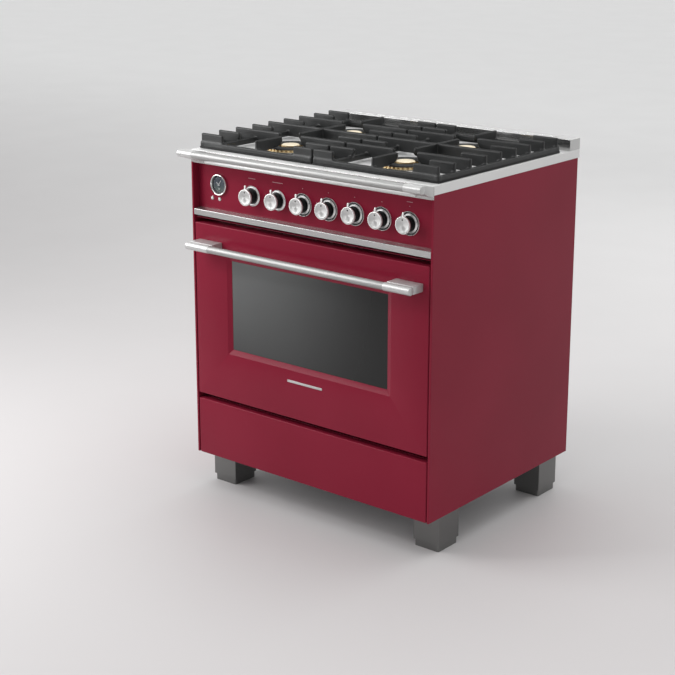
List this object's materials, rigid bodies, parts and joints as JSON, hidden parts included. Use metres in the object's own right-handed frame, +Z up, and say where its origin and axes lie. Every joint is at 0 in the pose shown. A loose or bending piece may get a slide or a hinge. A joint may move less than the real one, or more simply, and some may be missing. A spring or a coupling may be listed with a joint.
{
  "type": "freestanding gas range",
  "caption": "Free-standing gas range with cooktop burners under cast-iron grates, a recessed control panel with knobs and clock, a drop-down oven door and a storage drawer on square legs.",
  "frame": {"origin": "on the floor, at the centre of the bounding box's base", "axes": "+X to the user's right, -Y out of the front, +Z up"},
  "size_m": [0.759, 0.683, 0.9465],
  "materials": {
    "red_enamel": "gloss cherry-red enamel",
    "stainless": "satin brushed stainless steel",
    "polished_steel": "polished",
    "galvanised": "plain galvanised sheet",
    "black_enamel": "satin black vitreous enamel",
    "oven_enamel": "speckled dark grey enamel",
    "insulation": "mineral wool blanket",
    "dark_glass": "smoked oven glass",
    "clear_glass": "clear heat-resistant glass",
    "cast_iron": "matte enamelled cast iron",
    "brass": "machined brass",
    "aluminium": "cast",
    "wire": "nickel-plated wire",
    "knob": "brushed metal face on a black ribbed grip",
    "plastic_black": "moulded",
    "dial": "printed clock dial",
    "hand": "white paint"
  },
  "bodies": {
    "range_body": {"side_panels": "red_enamel", "back_panel": "galvanised", "base_pan": "galvanised", "leg_sleeves": "stainless", "front_frame": "red_enamel", "oven_liner": "oven_enamel", "oven_insulation": "insulation", "oven_racks": "wire", "fan_baffle": "oven_enamel", "fan_motor": "galvanised", "oven_burners": "galvanised", "hinge_receivers": "galvanised", "drawer_rails": "galvanised", "panel_trim_strip": "stainless", "control_panel": "red_enamel", "knob_bezels": "polished_steel", "valves_and_switches": "aluminium", "clock_bezel": "polished_steel", "clock_dial": "dial", "gas_manifold": "galvanised", "front_fascia": "stainless", "front_rail_bar": "stainless", "front_rail_brackets": "stainless", "cooktop": "stainless", "rear_trim": "stainless", "burner_bases": "aluminium", "burner_heads": "brass", "burner_caps": "black_enamel"},
    "oven_door": {"door_outer_panel": "red_enamel", "door_outer_glass": "dark_glass", "door_inner_panel": "oven_enamel", "door_inner_glass": "clear_glass", "door_hinge_arms": "galvanised", "door_handle_bar": "stainless", "door_handle_brackets": "stainless"},
    "drawer": {"drawer_front": "red_enamel", "drawer_box": "galvanised"},
    "fan": {"convection_fan": "galvanised"},
    "grate_left_body": {"grate_left": "cast_iron"},
    "grate_right_body": {"grate_right": "cast_iron"},
    "minute_hand": {"clock_minute_hand": "hand"},
    "hour_hand": {"clock_hour_hand": "hand"},
    "button_left": {"clock_button_left": "polished_steel"},
    "button_right": {"clock_button_right": "polished_steel"},
    "knob_1_body": {"knob_1": "knob"},
    "knob_2_body": {"knob_2": "knob"},
    "knob_3_body": {"knob_3": "knob"},
    "collar_3": {"valve_collar_3": "plastic_black"},
    "knob_4_body": {"knob_4": "knob"},
    "collar_4": {"valve_collar_4": "plastic_black"},
    "knob_5_body": {"knob_5": "knob"},
    "collar_5": {"valve_collar_5": "plastic_black"},
    "knob_6_body": {"knob_6": "knob"},
    "collar_6": {"valve_collar_6": "plastic_black"},
    "knob_7_body": {"knob_7": "knob"},
    "collar_7": {"valve_collar_7": "plastic_black"},
    "foot_front_left_body": {"foot_front_left": "stainless"},
    "foot_rear_left_body": {"foot_rear_left": "stainless"},
    "foot_front_right_body": {"foot_front_right": "stainless"},
    "foot_rear_right_body": {"foot_rear_right": "stainless"}
  },
  "joints": [
    {"name": "oven_door_hinge", "type": "hinge", "parent": "range_body", "child": "oven_door", "pos_m": [0, -0.2635, 0.275], "axis": [1, 0, 0], "range_deg": [0, 90], "stiffness_Nm_per_rad": 9, "springref_deg": -20.05},
    {"name": "drawer_slide", "type": "slide", "parent": "range_body", "child": "drawer", "axis": [0, -1, 0], "range_m": [0, 0.34]},
    {"name": "fan_spin", "type": "hinge", "parent": "range_body", "child": "fan", "pos_m": [0, 0.1945, 0.5], "axis": [0, 1, 0], "continuous": true},
    {"name": "grate_left_lift", "type": "slide", "parent": "range_body", "child": "grate_left_body", "axis": [0, 0, 1], "range_m": [0, 0.1]},
    {"name": "grate_right_lift", "type": "slide", "parent": "range_body", "child": "grate_right_body", "axis": [0, 0, 1], "range_m": [0, 0.1]},
    {"name": "minute_hand_turn", "type": "hinge", "parent": "range_body", "child": "minute_hand", "pos_m": [-0.301, -0.2695, 0.823], "axis": [0, 1, 0], "continuous": true},
    {"name": "hour_hand_turn", "type": "hinge", "parent": "range_body", "child": "hour_hand", "pos_m": [-0.301, -0.2685, 0.823], "axis": [0, 1, 0], "continuous": true},
    {"name": "button_left_press", "type": "slide", "parent": "range_body", "child": "button_left", "axis": [0, 1, 0], "range_m": [0, 0.0015], "stiffness_N_per_m": 600, "springref_m": -0.001},
    {"name": "button_right_press", "type": "slide", "parent": "range_body", "child": "button_right", "axis": [0, 1, 0], "range_m": [0, 0.0015], "stiffness_N_per_m": 600, "springref_m": -0.001},
    {"name": "knob_1_turn", "type": "hinge", "parent": "range_body", "child": "knob_1_body", "pos_m": [-0.19, -0.2755, 0.808], "axis": [0, -1, 0], "range_deg": [-300, 0]},
    {"name": "knob_2_turn", "type": "hinge", "parent": "range_body", "child": "knob_2_body", "pos_m": [-0.105, -0.2755, 0.808], "axis": [0, -1, 0], "range_deg": [-300, 0]},
    {"name": "knob_3_push", "type": "slide", "parent": "range_body", "child": "collar_3", "axis": [0, 1, 0], "range_m": [0, 0.004], "stiffness_N_per_m": 900, "springref_m": -0.003},
    {"name": "knob_3_turn", "type": "hinge", "parent": "collar_3", "child": "knob_3_body", "pos_m": [-0.024, -0.2755, 0.808], "axis": [0, -1, 0], "range_deg": [0, 220]},
    {"name": "knob_4_push", "type": "slide", "parent": "range_body", "child": "collar_4", "axis": [0, 1, 0], "range_m": [0, 0.004], "stiffness_N_per_m": 900, "springref_m": -0.003},
    {"name": "knob_4_turn", "type": "hinge", "parent": "collar_4", "child": "knob_4_body", "pos_m": [0.0565, -0.2755, 0.808], "axis": [0, -1, 0], "range_deg": [0, 220]},
    {"name": "knob_5_push", "type": "slide", "parent": "range_body", "child": "collar_5", "axis": [0, 1, 0], "range_m": [0, 0.004], "stiffness_N_per_m": 900, "springref_m": -0.003},
    {"name": "knob_5_turn", "type": "hinge", "parent": "collar_5", "child": "knob_5_body", "pos_m": [0.137, -0.2755, 0.808], "axis": [0, -1, 0], "range_deg": [0, 220]},
    {"name": "knob_6_push", "type": "slide", "parent": "range_body", "child": "collar_6", "axis": [0, 1, 0], "range_m": [0, 0.004], "stiffness_N_per_m": 900, "springref_m": -0.003},
    {"name": "knob_6_turn", "type": "hinge", "parent": "collar_6", "child": "knob_6_body", "pos_m": [0.2175, -0.2755, 0.808], "axis": [0, -1, 0], "range_deg": [0, 220]},
    {"name": "knob_7_push", "type": "slide", "parent": "range_body", "child": "collar_7", "axis": [0, 1, 0], "range_m": [0, 0.004], "stiffness_N_per_m": 900, "springref_m": -0.003},
    {"name": "knob_7_turn", "type": "hinge", "parent": "collar_7", "child": "knob_7_body", "pos_m": [0.298, -0.2755, 0.808], "axis": [0, -1, 0], "range_deg": [0, 220]},
    {"name": "foot_front_left_level", "type": "slide", "parent": "range_body", "child": "foot_front_left_body", "axis": [0, 0, -1], "range_m": [0, 0.025]},
    {"name": "foot_rear_left_level", "type": "slide", "parent": "range_body", "child": "foot_rear_left_body", "axis": [0, 0, -1], "range_m": [0, 0.025]},
    {"name": "foot_front_right_level", "type": "slide", "parent": "range_body", "child": "foot_front_right_body", "axis": [0, 0, -1], "range_m": [0, 0.025]},
    {"name": "foot_rear_right_level", "type": "slide", "parent": "range_body", "child": "foot_rear_right_body", "axis": [0, 0, -1], "range_m": [0, 0.025]}
  ],
  "couplings": [
    {"joint": "hour_hand_turn", "follows": "minute_hand_turn", "ratio": 0.083333}
  ]
}
